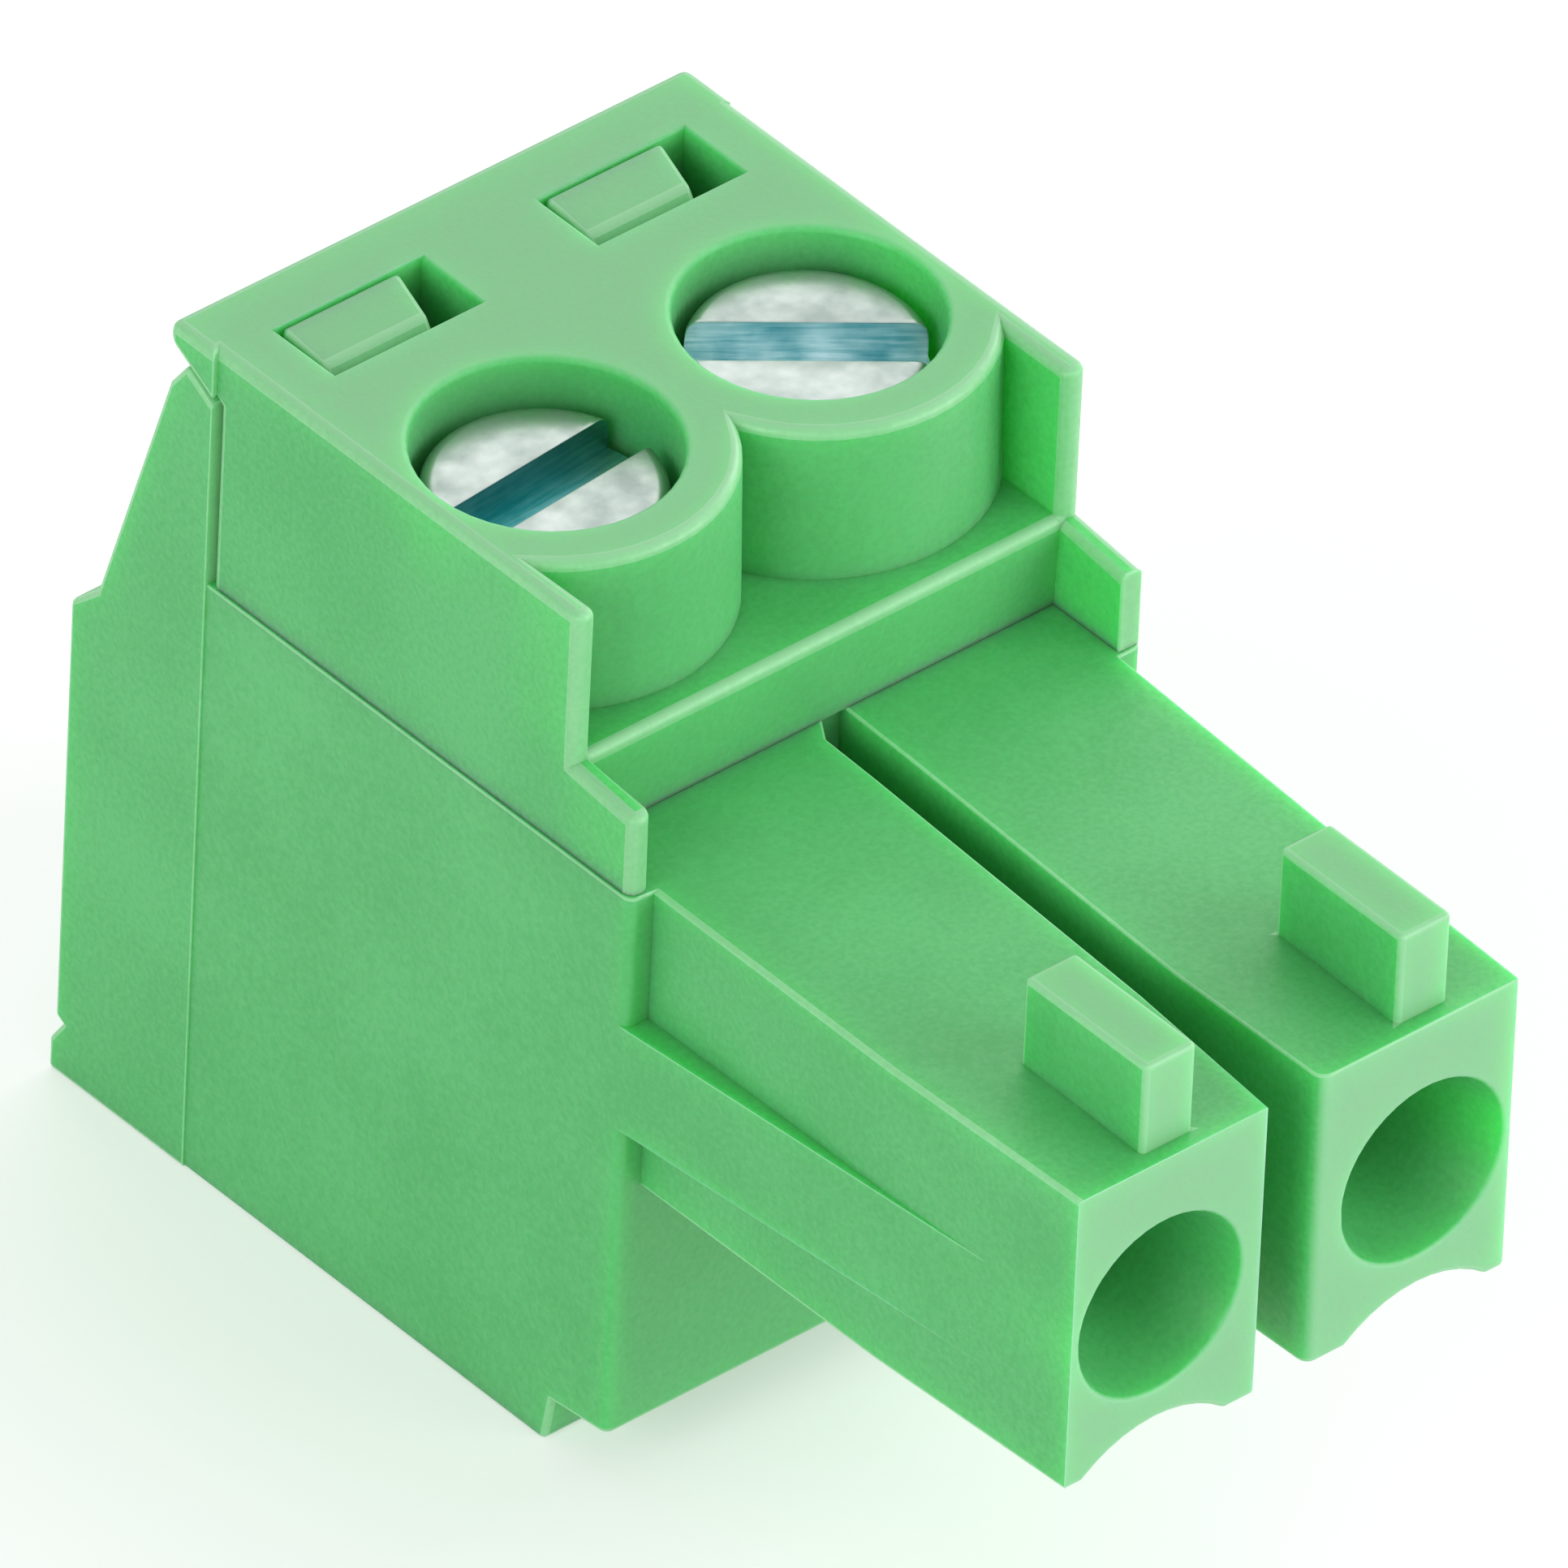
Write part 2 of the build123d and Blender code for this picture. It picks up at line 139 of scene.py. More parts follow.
def moulded_polyamide(name, colours, sheen_above, roughness, depth, bleed):
    """Polyamide 66, injection moulded in a spark-eroded tool: a fine even matt grain, a waxy
    gloss under it, and a milky body that lets a little light through thin walls. The end faces
    of the fingers and the tops above a height are painted paler, a painted sheen that stands in
    for the light they catch. The four colours are the body's, that of its deeper patches, and the
    painted sheen of the finger faces and of the tops.
    Light bleeds as far as the depth, times the share of each colour."""
    material, tree = new_material(name)
    body_colour, deep_colour, face_sheen_colour, top_sheen_colour = (linear(colour) for colour in colours)
    coordinates = add(tree, "ShaderNodeTexCoord")
    place = coordinates.outputs["Object"]
    # The eroded grain of about 0.03 mm is too fine to show, so it is drawn at 0.08 mm.
    grain_width = 0.08 * MM
    grain = add(
        tree, "ShaderNodeTexNoise", {"Scale": 1 / grain_width, "Detail": 3.0}, {"Vector": place},
    )
    # Flow of the melt shifts the tone a little over 2 mm or so.
    flow_width = 2.2 * MM
    flow = add(
        tree, "ShaderNodeTexNoise", {"Scale": 1 / flow_width, "Detail": 3.0}, {"Vector": place},
    )
    mottle = add(
        tree, "ShaderNodeMath", links={0: grain.outputs["Fac"], 1: flow.outputs["Fac"]},
        operation="ADD",
    )
    deep_share = add(
        tree, "ShaderNodeMapRange", {"From Min": 0.76, "From Max": 1.24},
        {"Value": mottle.outputs["Value"]},
    )
    body = add(
        tree, "ShaderNodeMix", {"A": body_colour, "B": deep_colour},
        {"Factor": deep_share.outputs["Result"]}, data_type="RGBA",
    )
    facing = add(tree, "ShaderNodeSeparateXYZ", links={"Vector": coordinates.outputs["Normal"]})
    where = add(tree, "ShaderNodeSeparateXYZ", links={"Vector": place})
    # Painted sheen: faces that look forwards are painted paler, most at the tips of the fingers and least at the
    # body's front, which the fingers shade.
    forwards = add(
        tree, "ShaderNodeMapRange", {"From Min": -0.5, "From Max": -0.95},
        {"Value": facing.outputs["Y"]},
    )
    sheen_towards_tip = add(
        tree, "ShaderNodeMapRange",
        {"From Min": -1.5 * MM, "From Max": -7.0 * MM, "To Min": 0.2, "To Max": 1.0},
        {"Value": where.outputs["Y"]},
    )
    # Painted sheen: faces that look up are painted paler above the height.
    upward_sheen = add(
        tree, "ShaderNodeMapRange", {"From Min": 0.6, "From Max": 0.95},
        {"Value": facing.outputs["Z"]},
    )
    high = add(
        tree, "ShaderNodeMapRange", {"From Min": sheen_above - 0.1 * MM, "From Max": sheen_above},
        {"Value": where.outputs["Z"]},
    )
    tone = body.outputs["Result"]
    # Here the painted sheen is mixed into the tone.
    for looking, placed, colour in ((forwards, sheen_towards_tip, face_sheen_colour), (upward_sheen, high, top_sheen_colour)):
        share = add(
            tree, "ShaderNodeMath", links={0: looking.outputs["Result"], 1: placed.outputs["Result"]},
            operation="MULTIPLY",
        )
        paler = add(
            tree, "ShaderNodeMix", {"B": colour}, {"Factor": share.outputs["Value"], "A": tone},
            data_type="RGBA",
        )
        tone = paler.outputs["Result"]
    matt = add(
        tree, "ShaderNodeMapRange",
        {
            "From Min": NOISE_LOW, "From Max": NOISE_HIGH,
            "To Min": roughness[0], "To Max": roughness[1],
        },
        {"Value": grain.outputs["Fac"]},
    )
    skin = add(
        tree, "ShaderNodeBump", {"Strength": 0.5, "Distance": 0.010 * MM},
        {"Height": grain.outputs["Fac"]},
    )
    shader = add(
        tree, "ShaderNodeBsdfPrincipled",
        {
            "IOR": POLYAMIDE_IOR, "Subsurface Weight": 1.0, "Subsurface Scale": depth,
            "Subsurface Radius": bleed,
        },
        {"Base Color": tone, "Roughness": matt.outputs["Result"], "Normal": skin.outputs["Normal"]},
    )
    add(tree, "ShaderNodeOutputMaterial", links={"Surface": shader.outputs["BSDF"]})
    return material


def barrel_plated_metal(name, colour, dull_colour, patch_width):
    """Small metal parts plated in a barrel with zinc or tin: a satin white metal, cloudy in
    patches, with tiny knocks from the barrel."""
    material, tree = new_material(name)
    place = add(tree, "ShaderNodeTexCoord").outputs["Object"]
    cloud = add(
        tree, "ShaderNodeTexNoise", {"Scale": 1 / patch_width, "Detail": 4.0}, {"Vector": place},
    )
    # Crystals of the plating, about 0.02 mm across, are drawn at 0.05 mm.
    crystal_width = 0.05 * MM
    crystal = add(
        tree, "ShaderNodeTexNoise", {"Scale": 1 / crystal_width, "Detail": 2.0}, {"Vector": place},
    )
    dulled = add(
        tree, "ShaderNodeMapRange", {"From Min": NOISE_LOW, "From Max": NOISE_HIGH},
        {"Value": cloud.outputs["Fac"]},
    )
    tone = add(
        tree, "ShaderNodeMix", {"A": linear(colour), "B": linear(dull_colour)},
        {"Factor": dulled.outputs["Result"]}, data_type="RGBA",
    )
    satin = add(
        tree, "ShaderNodeMapRange",
        {"From Min": NOISE_LOW, "From Max": NOISE_HIGH, "To Min": 0.26, "To Max": 0.42},
        {"Value": cloud.outputs["Fac"]},
    )
    skin = add(
        tree, "ShaderNodeBump", {"Strength": 0.25, "Distance": 0.004 * MM},
        {"Height": crystal.outputs["Fac"]},
    )
    shader = add(
        tree, "ShaderNodeBsdfPrincipled", {"Metallic": 1.0},
        {
            "Base Color": tone.outputs["Result"], "Roughness": satin.outputs["Result"],
            "Normal": skin.outputs["Normal"],
        },
    )
    add(tree, "ShaderNodeOutputMaterial", links={"Surface": shader.outputs["BSDF"]})
    return material


def passivated_slot(name, angle, colour, streak_and_glint_colour):
    """Walls and floor of a driver slot: the saw leaves fine lines along it, and the blue
    passivation gathers there and dries teal. How pale the colours are is painted light: a pale
    colour with near-white streaks paints the reflection off the slot, a darker teal its shade."""
    material, tree = new_material(name)
    place = add(tree, "ShaderNodeTexCoord").outputs["Object"]
    along = add(
        tree, "ShaderNodeMapping", {"Rotation": (0, 0, -math.radians(angle))}, {"Vector": place},
        vector_type="POINT",
    )
    # Saw lines 0.03 mm apart run on for a millimetre or so; they are drawn at 0.06 mm.
    line_width = 0.06 * MM
    stretched = add(
        tree, "ShaderNodeMapping", {"Scale": (0.08, 1.0, 1.0)}, {"Vector": along.outputs["Vector"]},
    )
    lines = add(
        tree, "ShaderNodeTexNoise", {"Scale": 1 / line_width, "Detail": 2.0},
        {"Vector": stretched.outputs["Vector"]},
    )
    # The film pools in spots of half a millimetre.
    pool_width = 0.5 * MM
    pool = add(
        tree, "ShaderNodeTexNoise", {"Scale": 1 / pool_width, "Detail": 3.0}, {"Vector": place},
    )
    mottle = add(
        tree, "ShaderNodeMath", links={0: lines.outputs["Fac"], 1: pool.outputs["Fac"]},
        operation="ADD",
    )
    streaks = add(
        tree, "ShaderNodeMapRange", {"From Min": 0.75, "From Max": 1.25},
        {"Value": mottle.outputs["Value"]},
    )
    # Near white, the streak colour is a painted glint along the saw lines.
    tone = add(
        tree, "ShaderNodeMix", {"A": linear(colour), "B": linear(streak_and_glint_colour)},
        {"Factor": streaks.outputs["Result"]}, data_type="RGBA",
    )
    skin = add(
        tree, "ShaderNodeBump", {"Strength": 0.4, "Distance": 0.006 * MM},
        {"Height": lines.outputs["Fac"]},
    )
    shader = add(
        tree, "ShaderNodeBsdfPrincipled", {"Metallic": 1.0, "Roughness": 0.38},
        {"Base Color": tone.outputs["Result"], "Normal": skin.outputs["Normal"]},
    )
    add(tree, "ShaderNodeOutputMaterial", links={"Surface": shader.outputs["BSDF"]})
    return material


# The last two colours of each moulding are painted sheen for the finger faces and the tops.
base_polyamide = moulded_polyamide(
    "moulded polyamide 66 base", ("#5CC774", "#4EBB67", "#8CCE98", "#7AC487"),
    sheen_above=9.2 * MM, roughness=(0.40, 0.52), depth=0.8 * MM, bleed=(0.2, 1.0, 0.35),
)
cap_polyamide = moulded_polyamide(
    "moulded polyamide 66 cap", ("#5CC774", "#4EBB67", "#8CCE98", "#7CC589"),
    sheen_above=10.5 * MM, roughness=(0.44, 0.58), depth=0.8 * MM, bleed=(0.2, 1.0, 0.35),
)
# Rounded edges are rubbed a little glossier by the other plugs in the bag, and painted pale: part rubbed wear,
# part painted highlight where the roundings catch the light.
highlit_and_worn_edge_polyamide = moulded_polyamide(
    "moulded polyamide 66 rubbed edges", ("#94DA9F", "#88D093", "#98D6A3", "#92D09D"),
    sheen_above=9.2 * MM, roughness=(0.34, 0.44), depth=0.2 * MM, bleed=(0.5, 0.9, 0.6),
)
screw_zinc = barrel_plated_metal("zinc-plated steel screw", "#B4BDB8", "#98A39F", 0.4 * MM)
cage_zinc = barrel_plated_metal("zinc-plated steel strip", "#D5DADC", "#BFC6CA", 0.6 * MM)
contact_tin = barrel_plated_metal("tin-plated copper alloy", "#D9D6CF", "#C8C4BB", 0.8 * MM)


# Mouldings

# Corners of the CAD mesh closer than this are one, and faces that turn less are one face.
SAME_POINT = 1e-7
SAME_FACE = math.radians(0.4)
# An edge that turns more than this gets rounded, over this share of the land beside it.
SHARP_EDGE = math.radians(25)
LAND_SHARE = 0.45
# A face that runs out to a point this sharp has only a little room.
POINTED = math.radians(20)
POINT_ROOM = 0.02 * MM
# A corner this near a line lies on it.
ON_LINE = 0.01 * MM
# A sliver has an edge this short, and is this thin where that edge meets the next.
SLIVER_LENGTH = 0.05 * MM
SLIVER_WIDTH = 0.0035 * MM
# Faces that meet at less than this shade as one surface.
SMOOTH_ANGLE = math.radians(35)


def on_seam(place):
    """Whether a place lies on the level line where the cap comes down on the base."""
    return abs(place.z - SEAM_Z) < ON_LINE


def on_wall_front(place):
    """Whether a place lies on the upright line where the side of the cap meets the rear wall."""
    return abs(place.y - WALL_FRONT_Y) < ON_LINE and abs(place.x) > WALL_SIDE_X


def on_wire_rim(place):
    """Whether a place lies on the rim of a wire entry."""
    low, high = WIRE_ENTRIES_Z
    on_face = place.y > WIRE_FACE_Y - ON_LINE
    return on_face and abs(place.x) < WIRE_ENTRIES_X and low < place.z < high


def on_hole_rim(place):
    """Whether a place lies on the rim of a screw bore, a latch window or a pin entry."""
    bore_reach, pin_reach, depth = 1.65 * MM, 1.35 * MM, 0.1 * MM
    from_screw = math.hypot(abs(place.x) - SCREW_X, place.y - SCREW_Y)
    from_pin = math.hypot(abs(place.x) - SCREW_X, place.z - PIN_Z)
    by_window = abs(place.x) < WINDOWS_X and WINDOWS_Y[0] < place.y < WINDOWS_Y[1]
    on_top = place.z > CAP_TOP - depth and (from_screw < bore_reach or by_window)
    return on_top or (place.y < FINGER_FACE_Y + depth and from_pin < pin_reach)


def on_finger_edge(place):
    """Whether a place lies on the top edge of a finger at the slot or at the right side."""
    at_edge = abs(place.x) < FINGER_SLOT_X or place.x > FINGER_SIDE_X
    return at_edge and place.y < FINGER_ROOT_Y and place.z > FINGER_EDGES_Z


# Most that an edge is rounded when both its ends lie in such a place. The first one counts.
ROUNDING_LIMITS = (
    (on_wall_front, 0.012 * MM),
    (on_wire_rim, 0.02 * MM),
    (on_hole_rim, 0.05 * MM),
    (on_finger_edge, 0.03 * MM),
)


def room_beside(edge):
    """Width of the narrower of the two faces that meet at an edge, and much less where one of
    them runs out to a point along it."""
    start, end = (v.co for v in edge.verts)
    along = (end - start).normalized()
    room = []
    for face in edge.link_faces:
        room.append(max((v.co - start).cross(along).length for v in face.verts))
        for corner in face.loops:
            if corner.vert in edge.verts and corner.calc_angle() < POINTED:
                room.append(POINT_ROOM)
    return min(room)


def room_by_place(edge, limits):
    """Most that an edge may be rounded by where it lies."""
    for lies_there, room in limits:
        if all(lies_there(v.co) for v in edge.verts):
            return room
    return math.inf


def cheek_land(face):
    """Whether a face is the narrow front or sloping top of one of the cap's side cheeks."""
    widest = 0.4 * MM
    width = 2 * face.calc_area() / face.calc_perimeter()
    outside = abs(face.calc_center_median().x) > CHEEKS_X
    forwards, sloping = face.normal.y < -0.5, 0.3 < face.normal.z < 0.95
    return outside and width < widest and (forwards or sloping)


def wall_front(face):
    """Whether a face is the front of the base's rear wall, which shows beside the cap."""
    return face.normal.y < -0.99 and abs(face.calc_center_median().y - WALL_FRONT_Y) < ON_LINE


def close_slivers(bm):
    """Closes the slivers that the rounding leaves where it runs into a wall."""
    slivers = set()
    for face in bm.faces:
        for corner in face.loops:
            sides = (corner.edge, corner.link_loop_prev.edge)
            shorter = min(sides, key=lambda edge: edge.calc_length())
            length = shorter.calc_length()
            if length < SLIVER_LENGTH and length * corner.calc_angle() < SLIVER_WIDTH:
                slivers.add(shorter)
    bmesh.ops.collapse(bm, edges=list(slivers))


def even_normals(bm):
    """Corner normals that keep each flat face flat right up to its rounded edges, and run
    smoothly over the roundings and the curved walls."""
    normals = []
    for face in bm.faces:
        for corner in face.loops:
            near = [f for f in corner.vert.link_faces if f.normal.angle(face.normal) < SMOOTH_ANGLE]
            flats = [f for f in near if f.material_index == 0]
            mean = sum((f.normal * f.calc_area() for f in flats or near), Vector())
            normals.append(mean.normalized())
    return normals


def round_edges(node, piece, material, radius, seam_room, rubbed):
    """The moulding of a CAD node with its outer edges rounded. The radius is the most that an
    edge gets, and narrow lands, rims and the lines where the mouldings meet get less. The
    roundings and the chosen narrow faces get the pale edge colour, part rubbed wear and part
    painted highlight, and the rims of holes don't."""
    solid = frame["nodes"][node].data.copy()
    if solid.has_custom_normals:
        solid.attributes.remove(solid.attributes["custom_normal"])
    bm = bmesh.new()
    bm.from_mesh(solid)
    bpy.data.meshes.remove(solid)
    bmesh.ops.remove_doubles(bm, verts=bm.verts, dist=SAME_POINT)
    bmesh.ops.dissolve_limit(bm, angle_limit=SAME_FACE, verts=bm.verts, edges=bm.edges)
    weight = bm.edges.layers.float.new("bevel_weight_edge")
    limits = ((on_seam, seam_room), *ROUNDING_LIMITS)
    for edge in bm.edges:
        edge.smooth = True
        if len(edge.link_faces) == 2 and edge.is_convex and edge.calc_face_angle() > SHARP_EDGE:
            room = min(LAND_SHARE * room_beside(edge), room_by_place(edge, limits))
            edge[weight] = min(1.0, room / radius)
    for face in bm.faces:
        # These faces get the pale edge colour: rubbed wear and painted highlight.
        face.material_index = 1 if rubbed(face) else 0
    made = piece_from(bm, piece, material, "housing")
    made.data.materials.append(highlit_and_worn_edge_polyamide)
    # The roundings get the pale edge colour: rubbed wear and painted highlight.
    bevel = made.modifiers.new("rounded edges", "BEVEL")
    bevel.material = 1
    bevel.limit_method = "WEIGHT"
    bevel.width = radius
    bevel.segments = 3
    bevel.use_clamp_overlap = False
    rounded = made.evaluated_get(bpy.context.evaluated_depsgraph_get())
    made.data = bpy.data.meshes.new_from_object(rounded)
    made.modifiers.clear()
    bm = bmesh.new()
    bm.from_mesh(made.data)
    close_slivers(bm)
    bm.to_mesh(made.data)
    made.data.normals_split_custom_set(even_normals(bm))
    bm.free()
    for polygon in made.data.polygons:
        if all(on_hole_rim(made.data.vertices[i].co) for i in polygon.vertices):
            polygon.material_index = 0
    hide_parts(node)
    return made


# The front of the base's rear wall and the cap's cheek lands are painted in the pale edge colour, as painted
# highlight along with rubbed wear.
base = round_edges(
    "base_housing", "base_moulding", base_polyamide,
    radius=0.07 * MM, seam_room=0.03 * MM, rubbed=wall_front,
)
cap = round_edges(
    "cap_housing", "cap_moulding", cap_polyamide,
    radius=0.13 * MM, seam_room=0.0, rubbed=cheek_land,
)


# Screws

HEAD_RADIUS = 1.39 * MM
HEAD_TOP = 10.92 * MM
HEAD_BOTTOM = 9.75 * MM
HEAD_ROUNDING = 0.16 * MM
UNDERSIDE_CHAMFER = 0.04 * MM
SLOT_WIDTH = 0.68 * MM
SLOT_DEPTH = 0.46 * MM
SLOT_ROUNDING = 0.02 * MM
# Room left round the slot when its rims and its faces are told from the rest by their place.
SLOT_MARGIN = 0.1 * SLOT_DEPTH
THREAD_RADIUS = 0.98 * MM
CORE_RADIUS = 0.77 * MM
THREAD_PITCH = 0.40 * MM
TIP_Z = 5.65 * MM
TIP_CHAMFER = 0.20 * MM
ROOT_SUNK = 0.05 * MM
HEAD_STEPS = 96
THREAD_STEPS = 32
SHARP_RIM = math.radians(40)
SHARP_SHADING = math.radians(38)


def arc(centre_r, centre_z, radius, start, end, steps):
    """Points of an arc in the (r, z) half plane, angles in degrees from +r."""
    turns = [math.radians(start + (end - start) * i / steps) for i in range(steps + 1)]
    return [(centre_r + radius * math.cos(a), centre_z + radius * math.sin(a)) for a in turns]


def turned(profile):
    """Solid turned about Z from a profile of (r, z) points that starts and ends on the axis."""
    bm = bmesh.new()
    verts = [bm.verts.new((r, 0, z)) for r, z in profile]
    edges = [bm.edges.new(pair) for pair in zip(verts, verts[1:])]
    bmesh.ops.spin(
        bm, geom=verts + edges, cent=(0, 0, 0), axis=(0, 0, 1), angle=2 * math.pi,
        steps=HEAD_STEPS, use_merge=True,
    )
    bmesh.ops.remove_doubles(bm, verts=bm.verts, dist=SAME_POINT)
    bmesh.ops.recalc_face_normals(bm, faces=bm.faces)
    return bm


def screw_blank():
    """The screw as it comes off the header: cheese head, core of the thread and bevelled tip."""
    rim = arc(HEAD_RADIUS - HEAD_ROUNDING, HEAD_TOP - HEAD_ROUNDING, HEAD_ROUNDING, 90, 0, 5)
    return turned([
        (0, HEAD_TOP),
        *rim,
        (HEAD_RADIUS, HEAD_BOTTOM + UNDERSIDE_CHAMFER),
        (HEAD_RADIUS - UNDERSIDE_CHAMFER, HEAD_BOTTOM),
        (CORE_RADIUS, HEAD_BOTTOM),
        (CORE_RADIUS, TIP_Z + TIP_CHAMFER),
        (CORE_RADIUS - TIP_CHAMFER, TIP_Z),
        (0, TIP_Z),
    ])


def saw_slot(blank, angle):
    """The blank with the driver slot sawn across its head."""
    cutter = bmesh.new()
    bmesh.ops.create_cube(cutter, size=1)
    size = Matrix.Diagonal((4 * HEAD_RADIUS, SLOT_WIDTH, 2 * SLOT_DEPTH, 1))
    place = Matrix.Translation((0, 0, HEAD_TOP)) @ Matrix.Rotation(math.radians(angle), 4, "Z")
    bmesh.ops.transform(cutter, matrix=place @ size, verts=cutter.verts)
    held = {}
    for name, shape in (("saw", cutter), ("blank", blank)):
        mesh = bpy.data.meshes.new(name)
        shape.to_mesh(mesh)
        shape.free()
        held[name] = bpy.data.objects.new(name, mesh)
        bpy.context.scene.collection.objects.link(held[name])
    cut = held["blank"].modifiers.new("slot", "BOOLEAN")
    cut.operation = "DIFFERENCE"
    cut.solver = "EXACT"
    cut.object = held["saw"]
    sawn = held["blank"].evaluated_get(bpy.context.evaluated_depsgraph_get())
    bm = bmesh.new()
    bm.from_mesh(sawn.to_mesh())
    sawn.to_mesh_clear()
    for done in held.values():
        mesh = done.data
        bpy.data.objects.remove(done)
        bpy.data.meshes.remove(mesh)
    return bm


def break_slot_edges(bm):
    """Rounds the rims of the slot and leaves the edges of its floor sharp."""
    lowest = HEAD_TOP - SLOT_DEPTH + SLOT_MARGIN
    rims = [
        edge for edge in bm.edges
        if len(edge.link_faces) == 2 and edge.is_convex and edge.calc_face_angle() > SHARP_RIM
        and min(v.co.z for v in edge.verts) > lowest
    ]
    bmesh.ops.bevel(
        bm, geom=rims, offset=SLOT_ROUNDING, segments=2, profile=0.5, affect="EDGES", material=-1,
    )


def film_slot(bm, angle):
    """Gives the walls and the floor of the slot the second material."""
    lowest, highest = HEAD_TOP - SLOT_DEPTH - SLOT_MARGIN, HEAD_TOP - ON_LINE
    half_width = 0.505 * SLOT_WIDTH
    turn = Matrix.Rotation(-math.radians(angle), 3, "Z")
    for face in bm.faces:
        centre = turn @ face.calc_center_median()
        in_slot = abs(centre.y) < half_width and lowest < centre.z < highest
        face.material_index = 1 if in_slot else 0


def roll_thread(bm):
    """Adds the rolled thread: one tooth of the profile swept down round the core, from two turns
    under the head to the bevel of the tip."""
    root, half = CORE_RADIUS - ROOT_SUNK, THREAD_PITCH / 2
    crest = half / 6
    top = HEAD_BOTTOM - 2 * THREAD_PITCH
    # The outline runs upwards, so that the faces of the ridge point outwards.
    tooth = [(root, -half), (THREAD_RADIUS, -crest), (THREAD_RADIUS, crest), (root, half)]
    verts = [bm.verts.new((r, 0, top + z)) for r, z in tooth]
    edges = [bm.edges.new(pair) for pair in zip(verts, verts[1:])]
    turns = math.floor((top - TIP_Z - TIP_CHAMFER) / THREAD_PITCH)
    bmesh.ops.spin(
        bm, geom=verts + edges, cent=(0, 0, 0), axis=(0, 0, -1),
        dvec=(0, 0, -THREAD_PITCH / THREAD_STEPS), angle=2 * math.pi * turns,
        steps=THREAD_STEPS * turns,
    )


def clamp_screw(number, x, angle, lift, slot_film_and_reflection, streak_and_glint_colour):
    """Cheese-head clamping screw with its slot and thread, which stands higher by its lift."""
    bm = saw_slot(screw_blank(), angle)
    break_slot_edges(bm)
    film_slot(bm, angle)
    roll_thread(bm)
    bmesh.ops.translate(bm, vec=(x, SCREW_Y, lift), verts=bm.verts)
    for edge in bm.edges:
        edge.smooth = len(edge.link_faces) == 2 and edge.calc_face_angle() < SHARP_SHADING
    made = piece_from(bm, f"slotted_screw_{number}", screw_zinc, f"screw_{number}")
    made.data.materials.append(
        passivated_slot(f"blue-passivated slot {number}", angle, slot_film_and_reflection, streak_and_glint_colour),
    )
    shading = made.modifiers.new("even shading", "WEIGHTED_NORMAL")
    shading.keep_sharp = True
    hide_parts(f"clamp_screw_{number}")


# The first slot's darker teal is painted shade, and the second slot's pale blue with near-white streaks a painted
# reflection; the blue film itself is the plating's own.
clamp_screw(
    1, -SCREW_X, angle=5.0, lift=0.0, slot_film_and_reflection="#43999A", streak_and_glint_colour="#7FB4B6",
)
clamp_screw(
    2, SCREW_X, angle=-38.5, lift=0.11 * MM, slot_film_and_reflection="#7FBDC4", streak_and_glint_colour="#E2F1F3",
)


# Cages and contacts

def dress_strip(node, material, radius):
    """Stamped strip: the CAD node stays, with broken edges and its own finish."""
    part = frame["nodes"][node]
    weld = part.modifiers.new("joined faces", "WELD")
    weld.merge_threshold = SAME_POINT
    bevel = part.modifiers.new("broken edges", "BEVEL")
    bevel.limit_method = "ANGLE"
    bevel.angle_limit = math.radians(35)
    bevel.width = radius
    bevel.segments = 2
    part.data.materials.clear()
    part.data.materials.append(material)


for number in (1, 2):
    dress_strip(f"clamp_cage_{number}", cage_zinc, 0.04 * MM)
    dress_strip(f"contact_{number}", contact_tin, 0.03 * MM)


# Table, lights and camera

def seen_as_white(tree):
    """1 for rays from the camera, off shiny surfaces or through clear ones, and 0 for the rest."""
    path = add(tree, "ShaderNodeLightPath")
    seen = path.outputs["Is Camera Ray"]
    for ray in ("Is Glossy Ray", "Is Transmission Ray"):
        either = add(
            tree, "ShaderNodeMath", links={0: seen, 1: path.outputs[ray]}, operation="MAXIMUM",
        )
        seen = either.outputs["Value"]
    return seen


def pale_table():
    """Seamless pale table. The camera sees it nearly white, with the object's shadow kept."""
    half_width, glow_level = 0.8, 0.36
    material, tree = new_material("white paper sweep")
    paper = add(tree, "ShaderNodeBsdfDiffuse", {"Color": linear("#E6E6E6")})
    glow = add(
        tree, "ShaderNodeEmission", {"Color": linear("#FFFFFF"), "Strength": glow_level},
    )
    lit = add(
        tree, "ShaderNodeAddShader", links={0: paper.outputs["BSDF"], 1: glow.outputs["Emission"]},
    )
    mixed = add(
        tree, "ShaderNodeMixShader",
        links={0: seen_as_white(tree), 1: paper.outputs["BSDF"], 2: lit.outputs["Shader"]},
    )
    add(tree, "ShaderNodeOutputMaterial", links={"Surface": mixed.outputs["Shader"]})
    bm = bmesh.new()
    bmesh.ops.create_grid(bm, x_segments=1, y_segments=1, size=half_width)
    mesh = bpy.data.meshes.new("table")
    bm.to_mesh(mesh)
    bm.free()
    mesh.materials.append(material)
    table = bpy.data.objects.new("table", mesh)
    bpy.context.scene.collection.objects.link(table)


def white_room(level):
    """Even surroundings that light the part at a level and are white where they are seen."""
    world = bpy.data.worlds.new("white room")
    bpy.context.scene.world = world
    world.use_nodes = True
    tree = world.node_tree
    tree.nodes.clear()
    strength = add(
        tree, "ShaderNodeMapRange", {"To Min": level, "To Max": 1.0}, {"Value": seen_as_white(tree)},
    )
    back = add(
        tree, "ShaderNodeBackground", {"Color": linear("#FFFFFF")},
        {"Strength": strength.outputs["Result"]},
    )
    add(tree, "ShaderNodeOutputWorld", links={"Surface": back.outputs["Background"]})


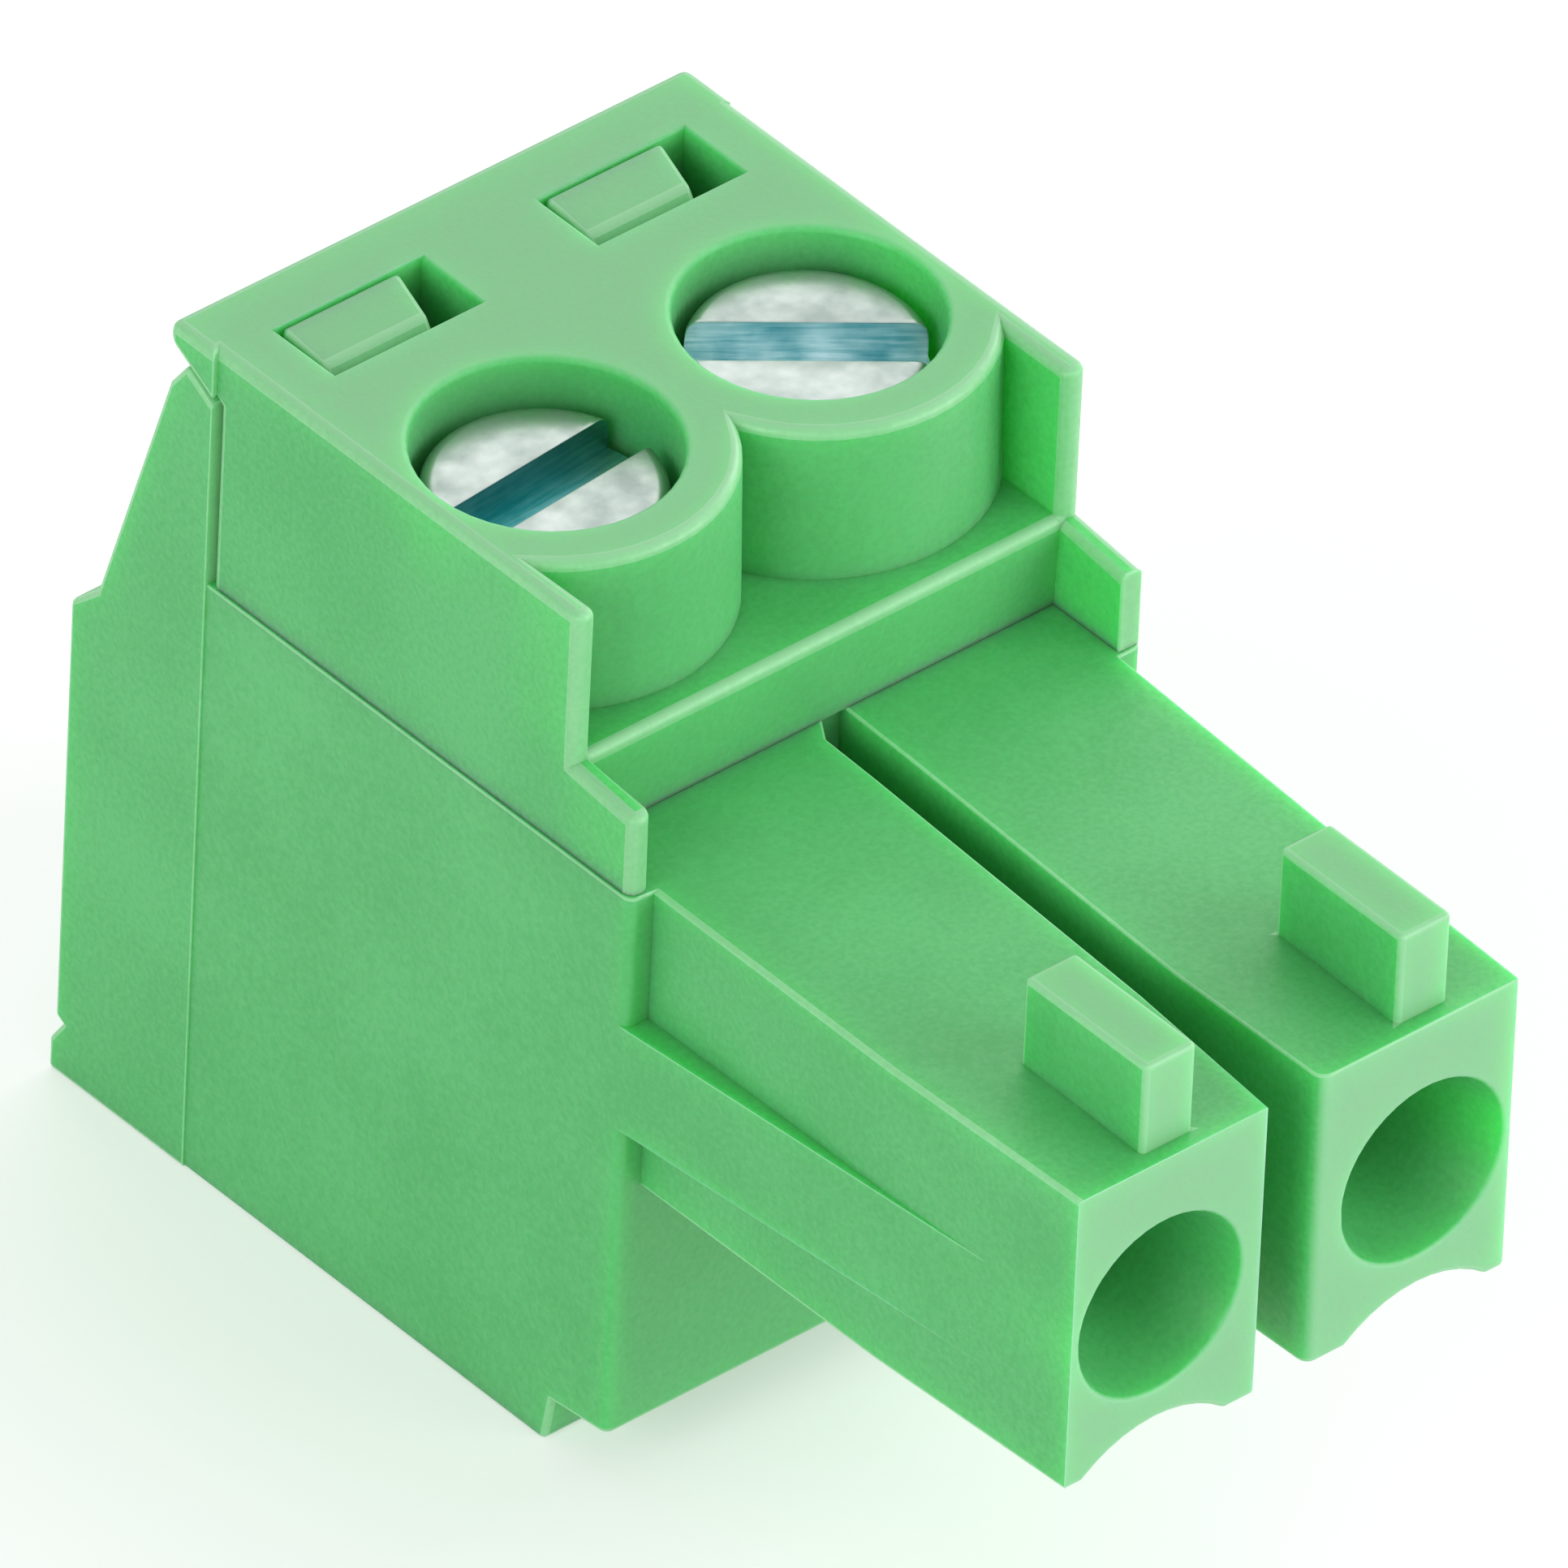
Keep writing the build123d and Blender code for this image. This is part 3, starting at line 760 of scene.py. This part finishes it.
def softbox(name, place, size, level):
    """Square softbox aimed at the part. Level is how bright it makes a white card that faces it."""
    light = bpy.data.lights.new(name, "AREA")
    light.size = size
    aim = Vector((0, 0, 5.5 * MM))
    place = Vector(place)
    light.energy = level * math.pi ** 2 * (place - aim).length_squared
    lamp = bpy.data.objects.new(name, light)
    lamp.location = place
    lamp.rotation_mode = "QUATERNION"
    lamp.rotation_quaternion = (aim - place).to_track_quat("-Z", "Y")
    bpy.context.scene.collection.objects.link(lamp)


def photo_camera():
    """Camera of the photograph, from a fit of the part's corners to the picture."""
    azimuth, elevation, roll = math.radians(-42.45), math.radians(38.10), math.radians(2.74)
    distance, shift_left, shift_up = 0.6, 1.23 * MM, 2.15 * MM
    target = Vector((0, -1.59, 5.5)) * MM
    focal_pixels, frame_pixels = 67220.6, 1932
    back = Vector((
        math.sin(azimuth) * math.cos(elevation),
        -math.cos(azimuth) * math.cos(elevation),
        math.sin(elevation),
    ))
    right = Vector((math.cos(azimuth), math.sin(azimuth), 0))
    up = back.cross(right)
    rolled_right = math.cos(roll) * right + math.sin(roll) * up
    rolled_up = math.cos(roll) * up - math.sin(roll) * right
    data = bpy.data.cameras.new("photo camera")
    data.sensor_width = 36
    data.lens = data.sensor_width * focal_pixels / frame_pixels
    data.clip_start = 0.01
    data.clip_end = 10
    camera = bpy.data.objects.new("photo camera", data)
    camera.location = target - shift_left * rolled_right + shift_up * rolled_up + distance * back
    camera.rotation_mode = "QUATERNION"
    turn = Matrix((rolled_right, rolled_up, back)).transposed()
    camera.rotation_quaternion = turn.to_quaternion()
    bpy.context.scene.collection.objects.link(camera)
    bpy.context.scene.camera = camera


pale_table()
white_room(0.45)
softbox("back softbox", (0.16, 0.18, 0.20), 0.30, 0.24)
softbox("front softbox", (0.17, -0.26, 0.12), 0.24, 0.52)
softbox("left softbox", (-0.30, -0.06, 0.14), 0.20, 0.42)
softbox("right softbox", (0.30, 0.02, 0.10), 0.16, 0.28)
photo_camera()
bpy.context.scene.view_settings.view_transform = "Standard"
